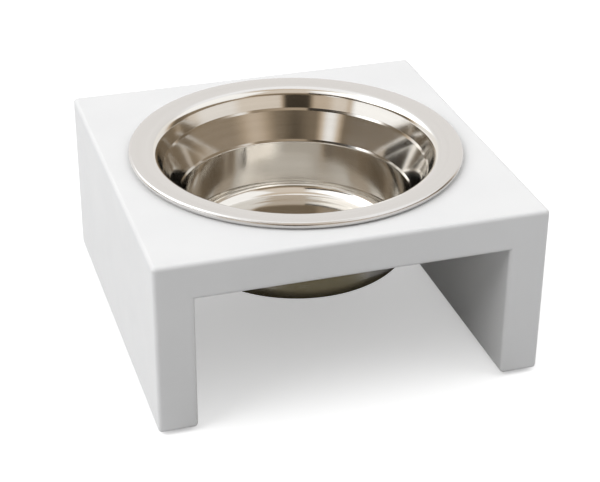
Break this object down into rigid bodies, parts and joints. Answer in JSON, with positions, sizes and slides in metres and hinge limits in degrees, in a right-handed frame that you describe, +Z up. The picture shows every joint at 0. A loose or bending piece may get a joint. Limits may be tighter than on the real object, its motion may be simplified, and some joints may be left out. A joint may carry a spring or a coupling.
{
  "type": "dog feeder stand",
  "caption": "Low bridge of white painted boards with a round cut-out in its top, which holds a lift-out stainless steel bowl by the bowl's rolled rim.",
  "frame": {"origin": "on the floor under the centre of the bowl", "axes": "+Z up, -Y towards the front, +X to the right"},
  "size_m": [0.18, 0.18, 0.0884],
  "materials": {
    "painted_board": "smooth satin white paint over board, edges eased, no grain showing",
    "bowl_steel": "polished inside with fine turning marks, satin on the rim",
    "dowel_wood": "raw beech",
    "pad_silicone": "translucent matt silicone"
  },
  "bodies": {
    "stand": {"top_panel": "painted_board", "side_panel_left": "painted_board", "side_panel_right": "painted_board", "dowel_left_front": "dowel_wood", "dowel_left_middle": "dowel_wood", "dowel_left_back": "dowel_wood", "dowel_right_front": "dowel_wood", "dowel_right_middle": "dowel_wood", "dowel_right_back": "dowel_wood", "pad_left_front": "pad_silicone", "pad_left_back": "pad_silicone", "pad_right_front": "pad_silicone", "pad_right_back": "pad_silicone"},
    "bowl": {"bowl": "bowl_steel"}
  },
  "joints": [
    {"name": "bowl_lift", "type": "slide", "parent": "stand", "child": "bowl", "axis": [0, 0, 1], "range_m": [0, 0.1]}
  ]
}
